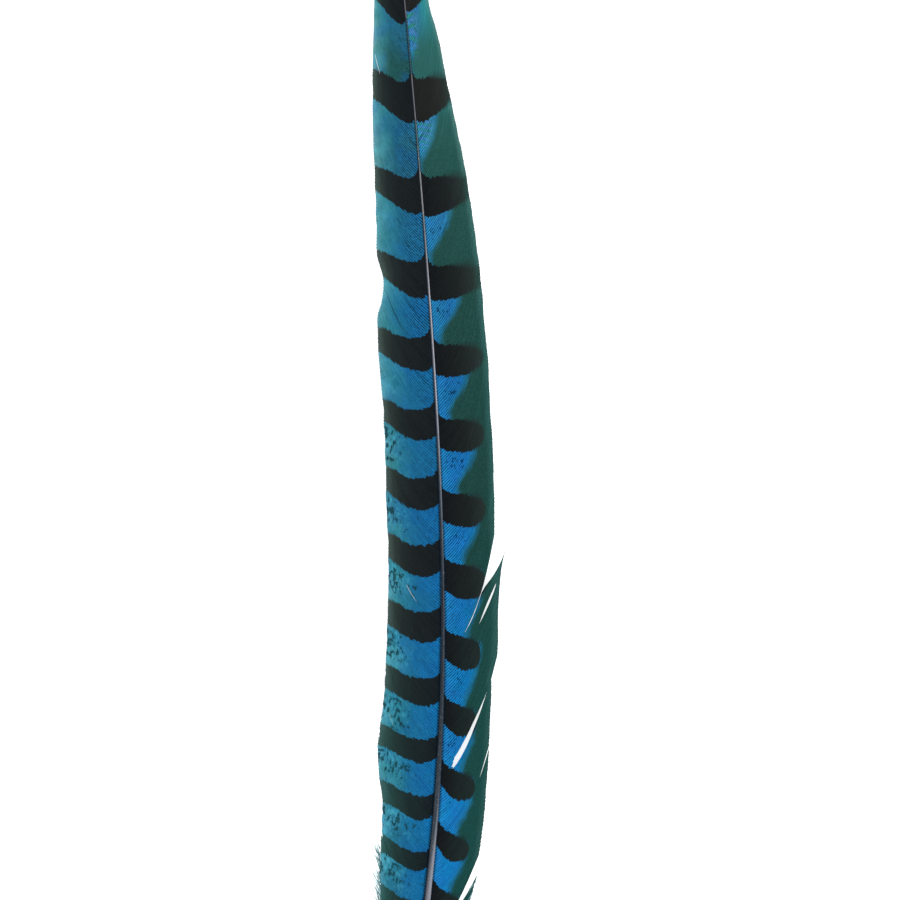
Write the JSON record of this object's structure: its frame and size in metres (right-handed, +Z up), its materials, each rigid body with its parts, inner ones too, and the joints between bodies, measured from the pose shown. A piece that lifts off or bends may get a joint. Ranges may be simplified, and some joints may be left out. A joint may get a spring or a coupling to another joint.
{
  "type": "pheasant tail feather",
  "caption": "Long barred pheasant tail feather with a curved tapering shaft, an inner and an outer web, and down above the bare quill.",
  "frame": {"origin": "under the middle of the feather's bounding box, on the surface it lies on", "axes": "+Y towards the feather's tip, +Z up out of the face that shows, +X to the right as seen from above"},
  "size_m": [0.0374, 0.4106, 0.0053],
  "materials": {
    "horn": "smooth horny keratin, slate at the quill and pale cream-grey towards the tip, fine lengthwise flecks",
    "inner_web": "combed barbs dyed blue to teal with near-black bars out to the edge, soft sheen",
    "outer_web": "combed barbs dyed blue beside the shaft with a dark green margin and near-black bars, soft sheen",
    "down": "loose fluffy down barbs, matt, pale grey-blue"
  },
  "bodies": {
    "root": {"shaft": "horn", "left_web": "inner_web", "right_web": "outer_web", "left_down": "down", "right_down": "down"}
  },
  "joints": []
}
